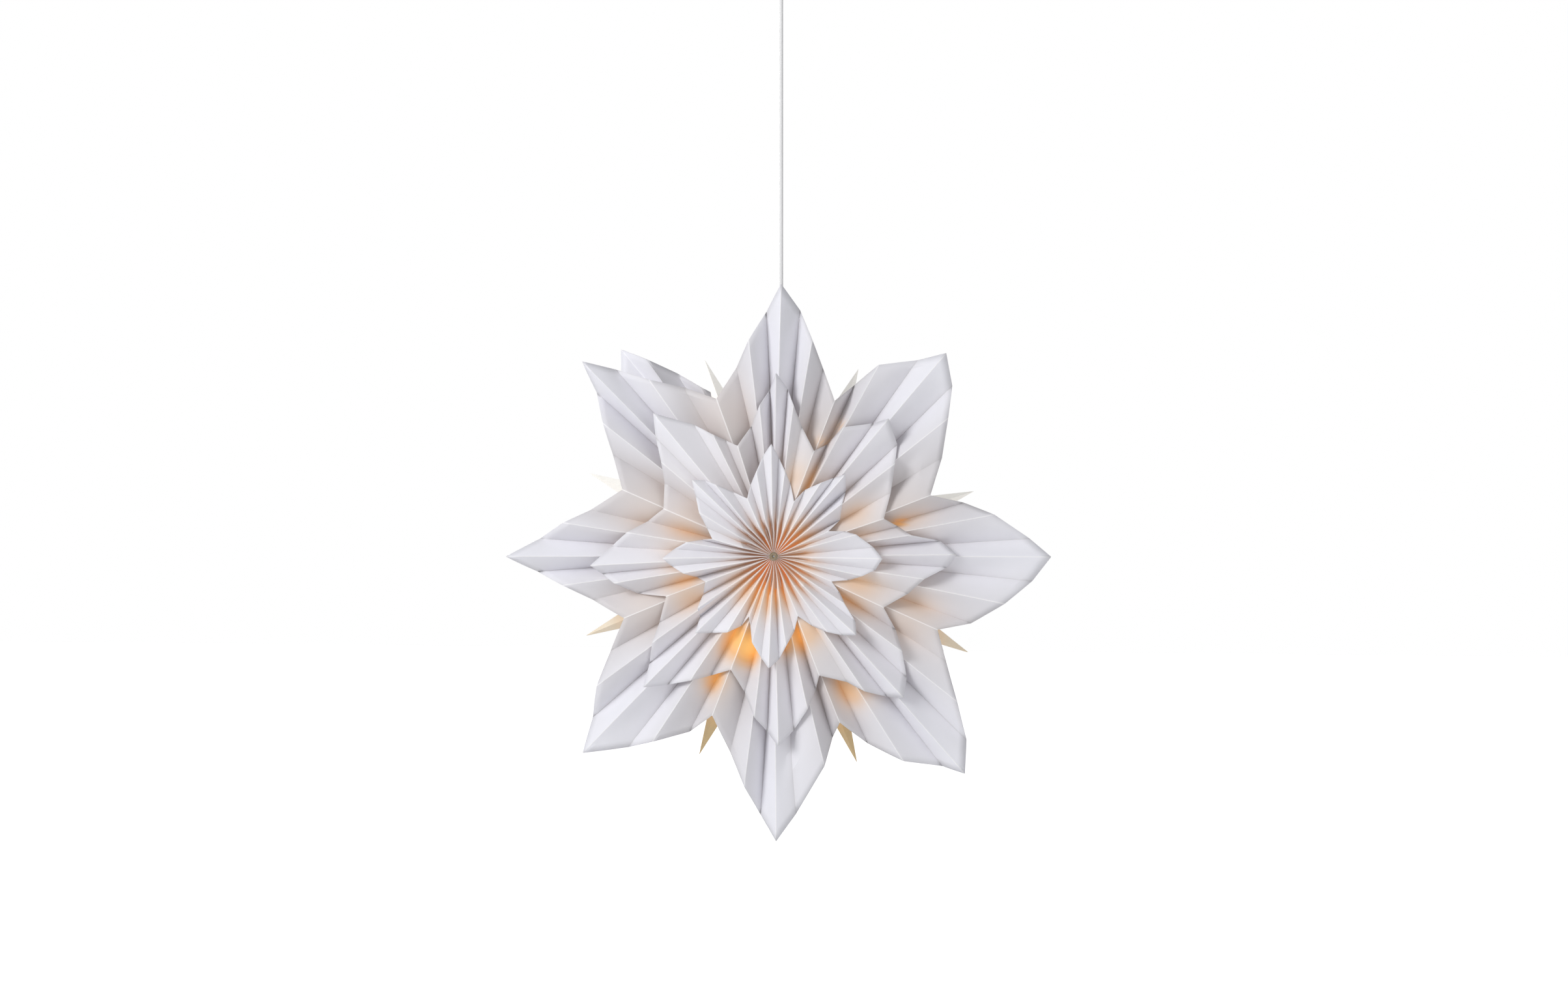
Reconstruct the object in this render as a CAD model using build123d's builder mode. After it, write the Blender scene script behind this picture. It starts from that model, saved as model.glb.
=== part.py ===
# Pleated paper star pendant: two eight-pointed halves back to back on a card core,
# eight hollow spikes between them, a lamp inside, and a straight cord to the ceiling.
# Millimetres, Z up, origin at the middle of the ceiling bracket's back face.
# The star's front looks towards -Y. Turns are degrees clockwise from straight up,
# as seen from the front.
from build123d import *
from math import atan2, cos, degrees, hypot, radians, sin, tan
import os

os.makedirs("parts", exist_ok=True)

# ---- ceiling fitting
strap_length = 84.0
strap_width = 20.0
strap_thickness = 2.5
strap_hole_spacing = 66.0
strap_hole_bore = 5.0
hook_wire = 4.0
hook_bend = 9.0
hook_drop = 22.0
hook_shank = 7.0
hook_tip = 4.0
nut_across = 7.0
nut_height = 3.2
ring_wire = 3.2
ring_bend = 9.0
eye_wire = 3.2
eye_bend = 6.5
hang_gap = 0.3

# ---- canopy and cord
cord_width = 5.0
cord_fit = 0.05
canopy_width = 100.0
canopy_height = 76.0
canopy_wall = 1.5
canopy_rim_gap = 6.0
canopy_edge_round = 12.0
collar_width = 13.0
collar_height = 11.0
grub_width = 3.0
grip_width = 15.0
grip_length = 17.0
grip_nut_width = 12.0
grip_nut_length = 6.0
grip_grasp = 12.0
holder_grasp = 11.0

# ---- lamp holder and bulb
holder_width = 27.0
holder_cap_height = 20.0
holder_above = 27.0
holder_below = 24.0
holder_flange_width = 38.0
holder_flange_height = 3.0
holder_nose_width = 13.0
socket_bore = 14.1
socket_wall = 0.8
socket_fit = 0.1
socket_depth = 22.0
contact_plate = 3.0
contact_bump = 1.5
contact_width = 5.0
shade_ring_width = 42.0
shade_ring_height = 9.0
bulb_cap_gap = 0.07
bulb_skirt = 5.0
bulb_tip = 2.0
bulb_width = 45.0
bulb_neck_width = 18.0
bulb_length = 58.0
bulb_glass = 0.8
filament_width = 1.8
filament_length = 26.0
filament_circle = 9.0
filament_plate = 1.2
stem_width = 6.0
stem_length = 16.0

# ---- star, measured from the hub
star_drop = 900.0
tip_turns = (1.4, 40.3, 90.2, 138.5, 179.7, 224.4, 269.7, 315.0)
notch_turns = (21.4, 68.6, 114.0, 158.3, 201.5, 247.5, 293.2, 339.7)
fold_shares = (0.0, 0.19, 0.40, 0.64, 1.0)
front_large_tips = (380, 367, 380, 399, 398, 391, 388, 388)
back_large_tips = (380, 396, 380, 399, 398, 391, 388, 388)
large_notches = (231, 231, 247, 247, 241, 233, 236, 236)
medium_tips = (255, 248, 250, 266, 263, 260, 260, 260)
medium_notches = (158, 162, 167, 182, 169, 161, 169, 163)
small_tips = (155, 150, 151, 158, 155, 154, 156, 155)
small_notches = (82, 84, 88, 89, 90, 99, 90, 88)
hub_reach = 6.0
rim_reach = 435.0

# ---- pleats: how far each fold line stands in front of the star's middle plane
large_ridge_hub = 88.5
large_ridge_rim = 82.0
pleat_depth_hub = 35.0
pleat_depth_rim = 21.0
paper_hub = 1.8
paper_rim = 0.4
sheet_gap = 0.3
medium_ridge_lift = 16.0
medium_valley_lift = 27.0
small_ridge_lift = 36.0
small_valley_lift = 52.0

# ---- card core and spikes
core_reach = 150.0
core_card = 1.2
core_seat_gap = 0.3
lamp_slot_width = 52.0
lamp_slot_depth = 80.0
window_width = 34.0
window_depth = 56.0
spike_turns = (22.7, 71.8, 117.4, 159.9, 202.4, 247.3, 292.5, 338.3)
spike_reaches = (288, 290, 302, 317, 314, 311, 305, 302)
spike_base_width = 60.0
spike_base_depth = 84.0
spike_wall_set = 4.0
spike_tip_width = 0.8

# ---- hubs and the spreader that carries both halves
tube_gap = 0.3
arm_width = 3.0
arm_fit = 0.1
arm_root = 4.0
collar_plate = 2.5
tie_wire = 2.4

star_z = -star_drop


def between(start, end, share):
    return start + (end - start) * share


def keep(piece, name):
    piece.part.label = name
    export_step(piece.part, "parts/" + name + ".step")
    box = piece.part.bounding_box()
    count = len(piece.part.solids())
    print(name, count, round(piece.part.volume, 1), [round(v, 1) for v in (*box.min, *box.max)])


# ================= ceiling fitting
bracket_bottom = -strap_thickness
with BuildPart() as ceiling_bracket:
    with BuildSketch(Plane.XY.offset(bracket_bottom)):
        SlotOverall(strap_length, strap_width)
        with GridLocations(strap_hole_spacing, 1, 2, 1):
            Circle(strap_hole_bore / 2, mode=Mode.SUBTRACT)
        Circle(hook_wire / 2 + arm_fit, mode=Mode.SUBTRACT)
    extrude(amount=strap_thickness)
keep(ceiling_bracket, "ceiling_bracket")

# The hook is one bent wire: a shank, an S-bend to one side, a half turn and a tip.
hook_low = -hook_drop - hook_bend
offset_turn = degrees(2 * atan2(hook_bend, hook_drop - hook_shank))
offset_bend = (hook_drop - hook_shank) / 2 / sin(radians(offset_turn))
with BuildPart() as ceiling_hook:
    with BuildLine(Plane.XZ):
        shank = Line((0, 0), (0, -hook_shank))
        swing_out = JernArc(shank @ 1, shank % 1, offset_bend, -offset_turn)
        swing_back = JernArc(swing_out @ 1, swing_out % 1, offset_bend, offset_turn)
        bowl = JernArc(swing_back @ 1, swing_back % 1, hook_bend, 180)
        Line(bowl @ 1, (hook_bend, -hook_drop + hook_tip))
    with BuildSketch(Plane.XY):
        Circle(hook_wire / 2)
    sweep()
keep(ceiling_hook, "ceiling_hook")

with BuildPart() as hook_nut:
    with BuildSketch(Plane.XY.offset(bracket_bottom - nut_height)):
        RegularPolygon(nut_across / 2, 6, major_radius=False)
        Circle(hook_wire / 2 + arm_fit, mode=Mode.SUBTRACT)
    extrude(amount=nut_height)
keep(hook_nut, "hook_nut")

# ================= hanging ring: stands in the YZ plane over the hook's wire
ring_top = hook_low + hook_wire / 2 + hang_gap + ring_wire / 2
ring_z = ring_top - ring_bend
ring_bottom = ring_z - ring_bend
with BuildPart() as hanging_ring:
    with BuildSketch(Plane.XY.offset(ring_z)):
        with Locations((0, ring_bend)):
            Circle(ring_wire / 2)
    revolve(axis=Axis((0, 0, ring_z), (1, 0, 0)), revolution_arc=360)
keep(hanging_ring, "hanging_ring")

# ================= cord grip with its eye, hung in the ring
eye_top = ring_bottom + ring_wire / 2 + hang_gap + eye_wire / 2
eye_z = eye_top - eye_bend
grip_top = eye_z - eye_bend
grip_bottom = grip_top - grip_length
cord_top = grip_bottom + grip_grasp
cord_bore = cord_width + 2 * cord_fit
with BuildPart() as cord_grip:
    with BuildSketch(Plane.XY.offset(eye_z)):
        with Locations((eye_bend, 0)):
            Circle(eye_wire / 2)
    revolve(axis=Axis((0, 0, eye_z), (0, 1, 0)), revolution_arc=360)
    with BuildSketch(Plane.XY.offset(grip_bottom)):
        Circle(grip_width / 2)
    extrude(amount=grip_length)
    fillet(cord_grip.edges().filter_by(GeomType.CIRCLE).group_by(Axis.Z)[0], 0.8)
    with BuildSketch(Plane.XY.offset(grip_bottom)):
        Circle(cord_bore / 2)
    extrude(amount=grip_grasp, mode=Mode.SUBTRACT)
keep(cord_grip, "cord_grip")

with BuildPart() as grip_nut:
    with BuildSketch(Plane.XY.offset(grip_bottom - grip_nut_length)):
        RegularPolygon(grip_nut_width / 2, 8, major_radius=False)
        Circle(cord_bore / 2, mode=Mode.SUBTRACT)
    extrude(amount=grip_nut_length)
keep(grip_nut, "grip_nut")

# ================= canopy: a spun cup that slides on the cord
canopy_top = -canopy_rim_gap
canopy_floor = canopy_top - canopy_height
with BuildPart() as canopy:
    with BuildSketch(Plane.XZ) as canopy_half:
        with BuildLine():
            Polyline(
                (0, canopy_floor),
                (canopy_width / 2 - canopy_edge_round, canopy_floor),
            )
            JernArc(
                (canopy_width / 2 - canopy_edge_round, canopy_floor),
                (1, 0),
                canopy_edge_round,
                90,
            )
            Polyline(
                (canopy_width / 2, canopy_floor + canopy_edge_round),
                (canopy_width / 2, canopy_top),
                (0, canopy_top),
                (0, canopy_floor),
            )
        make_face()
    revolve(axis=Axis.Z)
    offset(
        amount=-canopy_wall,
        openings=canopy.faces().sort_by(Axis.Z)[-1],
    )
    with BuildSketch(Plane.XY.offset(canopy_floor)):
        Circle(cord_bore / 2)
    extrude(amount=canopy_wall, mode=Mode.SUBTRACT)
keep(canopy, "canopy")

collar_bottom = canopy_floor - collar_height
grub_z = canopy_floor - collar_height / 2
with BuildPart() as canopy_collar:
    with BuildSketch(Plane.XY.offset(collar_bottom)):
        Circle(collar_width / 2)
    extrude(amount=collar_height)
    chamfer(canopy_collar.edges().group_by(Axis.Z)[0], 1.2)
    with BuildSketch(Plane.XY.offset(collar_bottom)):
        Circle(cord_bore / 2)
    extrude(amount=collar_height, mode=Mode.SUBTRACT)
    with BuildSketch(Plane.XZ):
        with Locations((0, grub_z)):
            Circle(grub_width / 2 + cord_fit)
    extrude(amount=collar_width, mode=Mode.SUBTRACT)
keep(canopy_collar, "canopy_collar")

with BuildPart() as collar_screw:
    with BuildSketch(Plane.XZ.offset(cord_width / 2 + 2 * cord_fit)):
        with Locations((0, grub_z)):
            Circle(grub_width / 2)
    extrude(amount=(collar_width - cord_width) / 2)
keep(collar_screw, "collar_screw")

# ================= lamp holder: cap, threaded body, ring nut, brass socket
holder_top = star_z + holder_above
holder_bottom = star_z - holder_below
cap_top = holder_top + holder_cap_height
cord_bottom = cap_top - holder_grasp
with BuildPart() as cord:
    with BuildSketch(Plane.XY.offset(cord_bottom)):
        Circle(cord_width / 2)
    extrude(amount=cord_top - cord_bottom)
keep(cord, "cord")
print("cord length", round(cord_top - cord_bottom, 1))
print("free cord", round(collar_bottom - cap_top, 1))

with BuildPart() as holder_cap:
    with BuildSketch(Plane.XZ):
        with BuildLine():
            Polyline(
                (0, holder_top),
                (holder_width / 2, holder_top),
                (holder_width / 2, holder_top + holder_cap_height * 0.45),
                (holder_nose_width / 2, holder_top + holder_cap_height * 0.7),
                (holder_nose_width / 2, cap_top),
                (0, cap_top),
                (0, holder_top),
            )
        make_face()
    revolve(axis=Axis.Z)
    with BuildSketch(Plane.XY.offset(cord_bottom)):
        Circle(cord_bore / 2)
    extrude(amount=holder_grasp, mode=Mode.SUBTRACT)
keep(holder_cap, "holder_cap")

flange_bottom = star_z + collar_plate / 2
socket_outer = socket_bore + 2 * socket_wall
with BuildPart() as holder_body:
    with BuildSketch(Plane.XY.offset(holder_bottom)):
        Circle(holder_width / 2)
    extrude(amount=holder_top - holder_bottom)
    with BuildSketch(Plane.XY.offset(flange_bottom)):
        Circle(holder_flange_width / 2)
    extrude(amount=holder_flange_height)
    with BuildSketch(Plane.XY.offset(holder_bottom)):
        Circle(socket_outer / 2 + socket_fit)
    extrude(amount=socket_depth + contact_plate, mode=Mode.SUBTRACT)
keep(holder_body, "holder_body")

socket_top = holder_bottom + socket_depth
with BuildPart() as socket_shell:
    with BuildSketch(Plane.XY.offset(holder_bottom)):
        Circle(socket_outer / 2)
        Circle(socket_bore / 2, mode=Mode.SUBTRACT)
    extrude(amount=socket_depth)
keep(socket_shell, "socket_shell")

with BuildPart() as socket_contact:
    with BuildSketch(Plane.XY.offset(socket_top)):
        Circle(socket_outer / 2)
    extrude(amount=contact_plate - socket_fit)
    with BuildSketch(Plane.XY.offset(socket_top - contact_bump)):
        Circle(contact_width / 2)
    extrude(amount=contact_bump)
keep(socket_contact, "socket_contact")

ring_nut_top = star_z - collar_plate / 2
with BuildPart() as shade_ring:
    with BuildSketch(Plane.XY.offset(ring_nut_top - shade_ring_height)):
        Circle(shade_ring_width / 2)
    extrude(amount=shade_ring_height)
    with PolarLocations(shade_ring_width / 2 + 1.0, 16):
        with Locations((0, 0, ring_nut_top - shade_ring_height / 2)):
            Cylinder(1.8, shade_ring_height, mode=Mode.SUBTRACT)
    with BuildSketch(Plane.XY.offset(ring_nut_top - shade_ring_height)):
        Circle(holder_width / 2 + socket_fit)
    extrude(amount=shade_ring_height, mode=Mode.SUBTRACT)
keep(shade_ring, "shade_ring")

# ================= bulb: it unscrews downwards
bulb_cap_top = socket_top - contact_bump - hang_gap
bulb_cap_bottom = holder_bottom - hang_gap
bulb_bottom = bulb_cap_bottom - bulb_skirt - bulb_length
with BuildPart() as bulb_cap:
    with BuildSketch(Plane.XY.offset(bulb_cap_bottom)):
        Circle(socket_bore / 2 - bulb_cap_gap)
    extrude(amount=bulb_cap_top - bulb_tip - bulb_cap_bottom)
    with BuildSketch(Plane.XY.offset(bulb_cap_top - bulb_tip)):
        Circle(contact_width / 2 + 0.5)
    extrude(amount=bulb_tip)
    with BuildSketch(Plane.XY.offset(bulb_cap_bottom - bulb_skirt)):
        Circle(bulb_neck_width / 2)
    extrude(amount=bulb_skirt)
keep(bulb_cap, "bulb_cap")

glass_top = bulb_cap_bottom - bulb_skirt
with BuildPart() as bulb_glass_shell:
    with BuildSketch(Plane.XZ):
        with BuildLine():
            Line((0, glass_top), (bulb_neck_width / 2, glass_top))
            Spline(
                (bulb_neck_width / 2, glass_top),
                (bulb_width / 2, bulb_bottom + bulb_width / 2),
                tangents=((0.25, -1), (0, -1)),
            )
            RadiusArc(
                (bulb_width / 2, bulb_bottom + bulb_width / 2),
                (0, bulb_bottom),
                bulb_width / 2,
            )
            Line((0, bulb_bottom), (0, glass_top))
        make_face()
    revolve(axis=Axis.Z)
    offset(amount=-bulb_glass, openings=bulb_glass_shell.faces().sort_by(Axis.Z)[-1])
keep(bulb_glass_shell, "bulb_glass")

filament_top = glass_top - stem_length
with BuildPart() as bulb_filament:
    with BuildSketch(Plane.XY.offset(filament_top)):
        Circle(stem_width / 2)
    extrude(amount=stem_length)
    with BuildSketch(Plane.XY.offset(filament_top)):
        Circle(filament_circle / 2 + filament_width)
    extrude(amount=-filament_plate)
    with BuildSketch(Plane.XY.offset(filament_top - filament_plate)):
        with PolarLocations(filament_circle / 2, 4):
            Circle(filament_width / 2)
    extrude(amount=-filament_length)
keep(bulb_filament, "bulb_filament")


# ================= pleated sheets
# Every sheet is one piece of paper folded into 64 panels. Its folds all run straight from
# the hub, three deep at each side of a point, so the three sheets of a half nest.
# Near the hub the panels stand on edge; towards the rim they spread and lie flatter.
def fold_turns(point):
    before = notch_turns[point - 1] - (360 if point == 0 else 0)
    rise = [between(tip_turns[point], before, s) for s in fold_shares[:0:-1]]
    fall = [between(tip_turns[point], notch_turns[point], s) for s in fold_shares]
    return rise + fall


def fold_depth(fold, reach, ridge_lift, valley_lift, sheets_below):
    share = (reach - hub_reach) / (rim_reach - hub_reach)
    nest = sheets_below * (paper_hub + sheet_gap)
    if fold % 2 == 0:
        ridge = between(large_ridge_hub, large_ridge_rim, share)
        return -(ridge + nest + ridge_lift * share)
    valley_hub = large_ridge_hub - pleat_depth_hub
    valley_rim = large_ridge_rim - pleat_depth_rim
    return -(between(valley_hub, valley_rim, share) + nest + valley_lift * share)


def paper_depth(reach):
    share = (reach - hub_reach) / (rim_reach - hub_reach)
    return between(paper_hub, paper_rim, share)


def star_outline(tips, notches):
    corners = []
    for point in range(8):
        turns = fold_turns(point)
        for fold in range(8):
            notch = notches[point - 1] if fold < 4 else notches[point]
            reach = between(tips[point], notch, abs(fold - 4) / 4)
            turn = radians(turns[fold])
            corners.append((reach * sin(turn), reach * cos(turn)))
    return corners


def pleated_sheet(side, tips, notches, ridge_lift, valley_lift, sheets_below):
    with BuildPart() as sheet:
        for point in range(8):
            tip = radians(tip_turns[point])
            outward = (side * sin(tip), 0, cos(tip))
            across = (side * cos(tip), 0, -sin(tip))
            for reach in (hub_reach, rim_reach):
                middle = (outward[0] * reach, 0, star_z + outward[2] * reach)
                face_line = []
                for fold, turn in enumerate(fold_turns(point)):
                    swing = radians(turn) - tip
                    depth = fold_depth(fold, reach / cos(swing), ridge_lift, valley_lift, sheets_below)
                    face_line.append((reach * tan(swing), depth))
                back_line = [
                    (x, y + paper_depth(hypot(reach, x))) for x, y in reversed(face_line)
                ]
                with BuildSketch(Plane(origin=middle, x_dir=across, z_dir=outward)):
                    with BuildLine():
                        Polyline(*face_line, *back_line, close=True)
                    make_face()
            loft(ruled=True)
        with BuildSketch(Plane(origin=(0, 0, star_z), x_dir=(side, 0, 0), z_dir=(0, -side, 0))):
            with BuildLine():
                Polyline(*star_outline(tips, notches), close=True)
            make_face()
        extrude(amount=large_ridge_hub * 2, mode=Mode.INTERSECT)
    return sheet


halves = ((1, "front", front_large_tips), (-1, "back", back_large_tips))
for side, name, large_tips in halves:
    large_sheet = pleated_sheet(side, large_tips, large_notches, 0, 0, 0)
    keep(large_sheet, name + "_large_star")
    medium_sheet = pleated_sheet(
        side, medium_tips, medium_notches, medium_ridge_lift, medium_valley_lift, 1
    )
    keep(medium_sheet, name + "_medium_star")
    small_sheet = pleated_sheet(
        side, small_tips, small_notches, small_ridge_lift, small_valley_lift, 2
    )
    keep(small_sheet, name + "_small_star")

# ================= card core: each side square to its spike
core_valley = -fold_depth(1, core_reach, 0, 0, 0)
core_half_depth = core_valley - paper_depth(core_reach) - core_seat_gap


def core_corners(inset):
    corners = []
    for side in range(8):
        here = radians(spike_turns[side])
        after = radians(spike_turns[(side + 1) % 8] + (360 if side == 7 else 0))
        half = (after - here) / 2
        reach = (core_reach - inset) / cos(half)
        corners.append((reach * sin(here + half), reach * cos(here + half)))
    return corners


spike_slimness = spike_base_width / spike_base_depth


def spike_plane(turn, reach):
    outward = (sin(radians(turn)), 0, cos(radians(turn)))
    middle = (outward[0] * reach, 0, star_z + outward[2] * reach)
    return Plane(origin=middle, x_dir=(0, 1, 0), z_dir=outward)


def diamond(depth, width):
    return [(-depth / 2, 0), (0, width / 2), (depth / 2, 0), (0, -width / 2)]


with BuildPart() as core_ring:
    with BuildSketch(Plane(origin=(0, 0, star_z), x_dir=(1, 0, 0), z_dir=(0, -1, 0))):
        with BuildLine():
            Polyline(*core_corners(0), close=True)
        make_face()
        with BuildLine():
            Polyline(*core_corners(core_card), close=True)
        make_face(mode=Mode.SUBTRACT)
    extrude(amount=core_half_depth, both=True)
    for turn in spike_turns:
        with BuildSketch(spike_plane(turn, core_reach + 1)):
            Polygon(*diamond(window_depth, window_width), align=None)
        extrude(amount=-core_card - 3, mode=Mode.SUBTRACT)
    with BuildSketch(Plane.XY.offset(star_z + core_reach * 0.6)):
        Rectangle(lamp_slot_width, lamp_slot_depth)
    extrude(amount=core_reach, mode=Mode.SUBTRACT)
keep(core_ring, "core_ring")

for number, turn in enumerate(spike_turns, start=1):
    tip_reach = spike_reaches[number - 1]
    with BuildPart() as spike:
        with BuildSketch(spike_plane(turn, core_reach)):
            Polygon(*diamond(spike_base_depth, spike_base_width), align=None)
        with BuildSketch(spike_plane(turn, tip_reach)):
            Polygon(*diamond(spike_tip_width, spike_tip_width * spike_slimness), align=None)
        loft(ruled=True)
        inner_share = 1 - spike_wall_set / (tip_reach - core_reach)
        with BuildSketch(spike_plane(turn, core_reach)):
            Polygon(
                *diamond(spike_base_depth * inner_share, spike_base_width * inner_share), align=None
            )
        with BuildSketch(spike_plane(turn, tip_reach - 2 * spike_wall_set)):
            Polygon(*diamond(spike_tip_width, spike_tip_width * spike_slimness), align=None)
        loft(ruled=True, mode=Mode.SUBTRACT)
    keep(spike, "core_spike_" + str(number))

# ================= spreader: a collar plate on the lamp holder and two arms to the hubs
tube_width = 2 * (hub_reach - tube_gap)
tube_start = large_ridge_hub - pleat_depth_hub - paper_hub - 4
tube_end = large_ridge_hub + 2 * (paper_hub + sheet_gap) + 1
tie_depth = tube_end + hang_gap + tie_wire / 2
arm_end = tube_end - 1
arm_start = shade_ring_width / 2 + arm_fit * 3
with BuildPart() as spreader:
    with BuildSketch(Plane.XY.offset(ring_nut_top)):
        Circle(holder_flange_width / 2)
    extrude(amount=collar_plate)
    with BuildSketch(Plane.XY.offset(ring_nut_top)):
        Rectangle(arm_width * 3, 2 * (arm_start + arm_root))
    extrude(amount=collar_plate)
    for side in (1, -1):
        with BuildSketch(Plane(origin=(0, side * arm_start, star_z), z_dir=(0, side, 0))):
            Circle(arm_width / 2)
        extrude(amount=arm_end - arm_start)
    with BuildSketch(Plane.XY.offset(ring_nut_top)):
        Circle(holder_width / 2 + socket_fit)
    extrude(amount=collar_plate, mode=Mode.SUBTRACT)
keep(spreader, "spreader")

for side, name, large_tips in halves:
    with BuildPart() as hub_tube:
        with BuildSketch(Plane(origin=(0, -side * tube_start, star_z), z_dir=(0, -side, 0))):
            Circle(tube_width / 2)
            Circle(arm_width / 2 + arm_fit, mode=Mode.SUBTRACT)
        extrude(amount=tube_end - tube_start)
    keep(hub_tube, name + "_hub_tube")

    with BuildPart() as hub_tie:
        with BuildSketch(Plane.XY.offset(star_z)):
            with Locations((tie_wire * 0.9, -side * tie_depth)):
                Circle(tie_wire / 2)
        revolve(axis=Axis((0, 0, star_z), (0, 1, 0)), revolution_arc=360)
    keep(hub_tie, name + "_hub_tie")

# ================= sizes that the fitting guide quotes
print("star width", 2 * max(front_large_tips), "core half depth", round(core_half_depth, 2))
print("hook low", hook_low, "ring", ring_z, "eye", eye_z, "cord top", cord_top)
print("collar bottom", collar_bottom, "cap top", cap_top, "bulb bottom", bulb_bottom)
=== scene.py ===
import math

import bpy
import numpy as np
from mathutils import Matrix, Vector


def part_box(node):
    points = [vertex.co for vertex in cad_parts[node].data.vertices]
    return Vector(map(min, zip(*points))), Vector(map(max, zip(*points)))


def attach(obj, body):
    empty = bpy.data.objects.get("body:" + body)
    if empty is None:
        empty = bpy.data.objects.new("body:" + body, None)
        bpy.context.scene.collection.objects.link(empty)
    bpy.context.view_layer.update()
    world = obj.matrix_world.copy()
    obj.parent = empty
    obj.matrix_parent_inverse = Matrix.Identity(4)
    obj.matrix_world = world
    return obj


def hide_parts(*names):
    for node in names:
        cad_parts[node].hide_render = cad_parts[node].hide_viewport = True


# Pleated paper star pendant. Metres, Z up, the origin is at the ceiling bracket.
# Turns are degrees clockwise from straight up, seen from the side that a sheet faces.
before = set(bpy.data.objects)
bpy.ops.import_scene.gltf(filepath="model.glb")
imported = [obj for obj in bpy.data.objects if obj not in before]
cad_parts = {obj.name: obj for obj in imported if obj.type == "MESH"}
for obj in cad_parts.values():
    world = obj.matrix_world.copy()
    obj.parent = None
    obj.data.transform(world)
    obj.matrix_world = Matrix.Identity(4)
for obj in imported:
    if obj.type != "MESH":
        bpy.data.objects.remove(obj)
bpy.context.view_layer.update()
millimetre = 0.001
starZ = sum(corner.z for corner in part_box("spreader")) / 2

# the camera stands where the photograph was taken from
picture = {
    "width": 2408,               # pixels of the photograph
    "height": 1515,
    "scale": 0.94,               # millimetres per pixel at the cord, from its 5 mm width
    "azimuth": 6.5,              # degrees round the star, because the cord stands right of the hub
    "distance": 2500.0,          # millimetres from the star's middle to the camera
    "sensor": 36.0,
    "cordPixel": 1200.0,         # the cord's axis
    "hubPixel": 850.6,           # the height of the star's hub
}


def makeCamera():
    turn = math.radians(picture["azimuth"])
    right = Vector((math.cos(turn), math.sin(turn), 0))
    back = Vector((math.sin(turn), -math.cos(turn), 0))
    aside = (picture["width"] / 2 - picture["cordPixel"]) * picture["scale"] * millimetre
    above = (picture["hubPixel"] - picture["height"] / 2) * picture["scale"] * millimetre
    aim = Vector((0, 0, starZ + above)) + right * aside
    data = bpy.data.cameras.new("camera")
    data.sensor_width = picture["sensor"]
    data.lens = picture["sensor"] * picture["distance"] / (picture["width"] * picture["scale"])
    camera = bpy.data.objects.new("camera", data)
    bpy.context.scene.collection.objects.link(camera)
    camera.rotation_mode = "QUATERNION"
    camera.location = aim + back * picture["distance"] * millimetre
    camera.rotation_quaternion = (-back).to_track_quat("-Z", "Y")
    bpy.context.scene.camera = camera


makeCamera()
print("camera ready")


# Small helpers for node trees come first.
def put(tree, kind, **settings):
    made = tree.nodes.new(kind)
    for key, value in settings.items():
        setattr(made, key, value)
    return made


def feed(tree, socket, value):
    # a socket is fed by another socket or holds a plain value
    if isinstance(value, bpy.types.NodeSocket):
        tree.links.new(value, socket)
    elif value is not None:
        socket.default_value = value


def calc(tree, operation, *values, clamp=False):
    made = put(tree, "ShaderNodeMath", operation=operation, use_clamp=clamp)
    for socket, value in zip(made.inputs, values):
        feed(tree, socket, value)
    return made.outputs[0]


def blendColors(tree, factor, first, second):
    # a Mix node holds sockets for every kind of data: 6, 7 and output 2 are its colours
    made = put(tree, "ShaderNodeMix", data_type="RGBA")
    feed(tree, made.inputs[0], factor)
    feed(tree, made.inputs[6], first)
    feed(tree, made.inputs[7], second)
    return made.outputs[2]


def rampColor(tree, factor, stops):
    # each stop is a place from 0 to 1 and a colour
    made = put(tree, "ShaderNodeValToRGB")
    feed(tree, made.inputs[0], factor)
    points = made.color_ramp.elements
    while len(points) < len(stops):
        points.new(0.5)
    for point, (place, color) in zip(points, stops):
        point.position = place
        point.color = color + (1,)
    return made.outputs[0]


def noiseAt(tree, place, scale, detail=2.0, roughness=0.5):
    made = put(tree, "ShaderNodeTexNoise")
    feed(tree, made.inputs["Vector"], place)
    feed(tree, made.inputs["Scale"], scale)
    feed(tree, made.inputs["Detail"], detail)
    feed(tree, made.inputs["Roughness"], roughness)
    return made.outputs["Fac"]


def newGroup(name, inputs, outputs):
    tree = bpy.data.node_groups.new(name, "ShaderNodeTree")
    for label, kind, value in inputs:
        tree.interface.new_socket(label, in_out="INPUT", socket_type=kind).default_value = value
    for label, kind in outputs:
        tree.interface.new_socket(label, in_out="OUTPUT", socket_type=kind)
    return tree, put(tree, "NodeGroupInput"), put(tree, "NodeGroupOutput")


def placeGroup(tree, group, **values):
    made = put(tree, "ShaderNodeGroup", node_tree=group)
    for label, value in values.items():
        feed(tree, made.inputs[label], value)
    return made


def newMaterial(name, **constants):
    made = bpy.data.materials.new(name)
    made.use_nodes = True
    shader = made.node_tree.nodes["Principled BSDF"]
    for label, value in constants.items():
        shader.inputs[label.replace("_", " ")].default_value = value
    return made, made.node_tree, shader


def objectPlace(tree):
    return put(tree, "ShaderNodeTexCoord").outputs["Object"]


def attribute(tree, name):
    return put(tree, "ShaderNodeAttribute", attribute_name=name).outputs["Fac"]


def addBump(tree, shader, height, strength, distance):
    bump = put(tree, "ShaderNodeBump")
    bump.inputs["Strength"].default_value = strength
    bump.inputs["Distance"].default_value = distance
    feed(tree, bump.inputs["Height"], height)
    tree.links.new(bump.outputs["Normal"], shader.inputs["Normal"])


# The effects that more than one material uses are node groups.
grainMix = {
    "clouds": 0.8,               # share of the coarse noise in the tone; the rest is the fine one
    "tooth": 0.4,                # height of the fine noise beside the coarse one
}


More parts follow.
